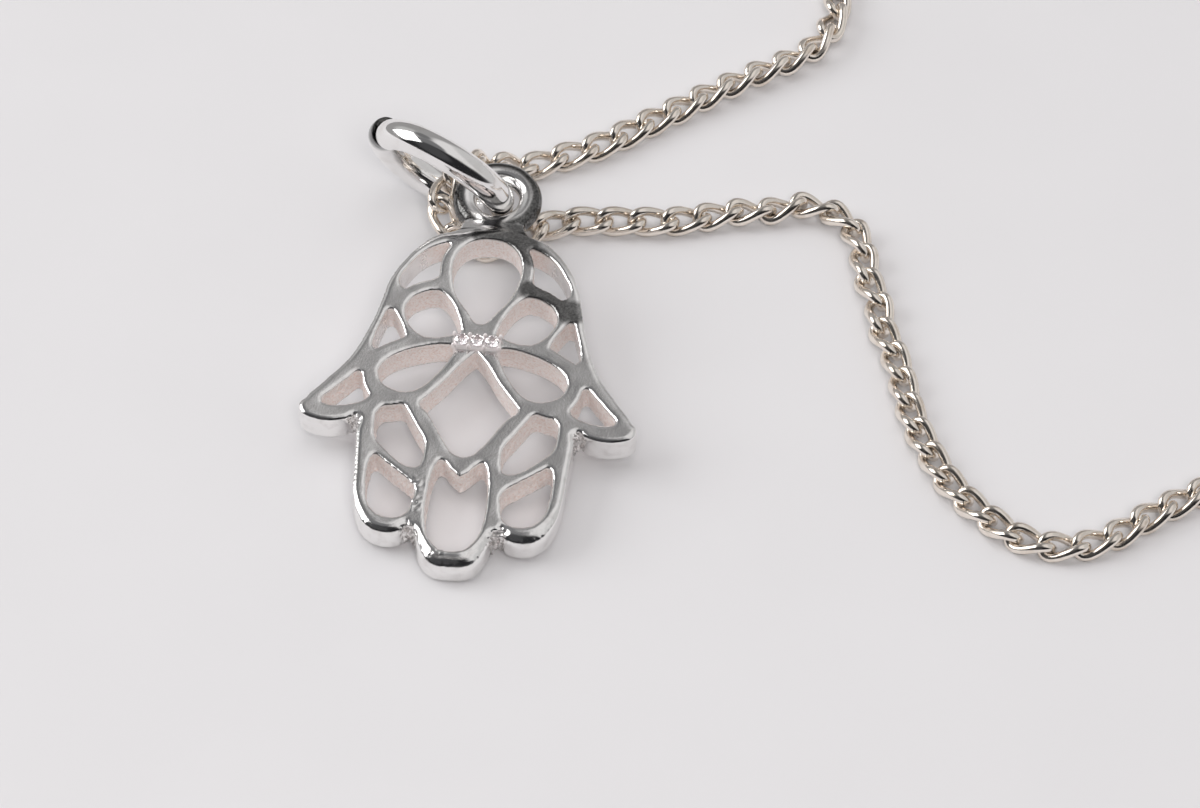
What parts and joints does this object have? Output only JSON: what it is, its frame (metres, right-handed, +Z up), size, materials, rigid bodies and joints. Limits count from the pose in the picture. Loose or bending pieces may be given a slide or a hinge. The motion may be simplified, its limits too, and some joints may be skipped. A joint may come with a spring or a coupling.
{
  "type": "hamsa pendant on a curb chain",
  "caption": "Openwork silver hand pendant with a row of small round stones, on a thick jump ring and a fine curb chain necklace laid flat.",
  "frame": {"origin": "middle of the bottom of the bounding box, on the surface that the necklace lies on", "axes": "+Z up; +Y away from the picture's camera; +X to the picture's right, along the necklace's longest extent"},
  "size_m": [0.1408, 0.1146, 0.0063],
  "materials": {
    "cast_silver": "cast and tumbled silver with softly rounded polished rims",
    "ring_silver": "bright polished silver wire",
    "chain_silver": "bright polished silver links",
    "clear_stone": "clear faceted stone"
  },
  "bodies": {
    "root": {"hamsa_plate": "cast_silver", "jump_ring": "ring_silver", "stone_left": "clear_stone", "stone_middle": "clear_stone", "stone_right": "clear_stone", "chain": "chain_silver", "clasp": "ring_silver"}
  },
  "joints": []
}
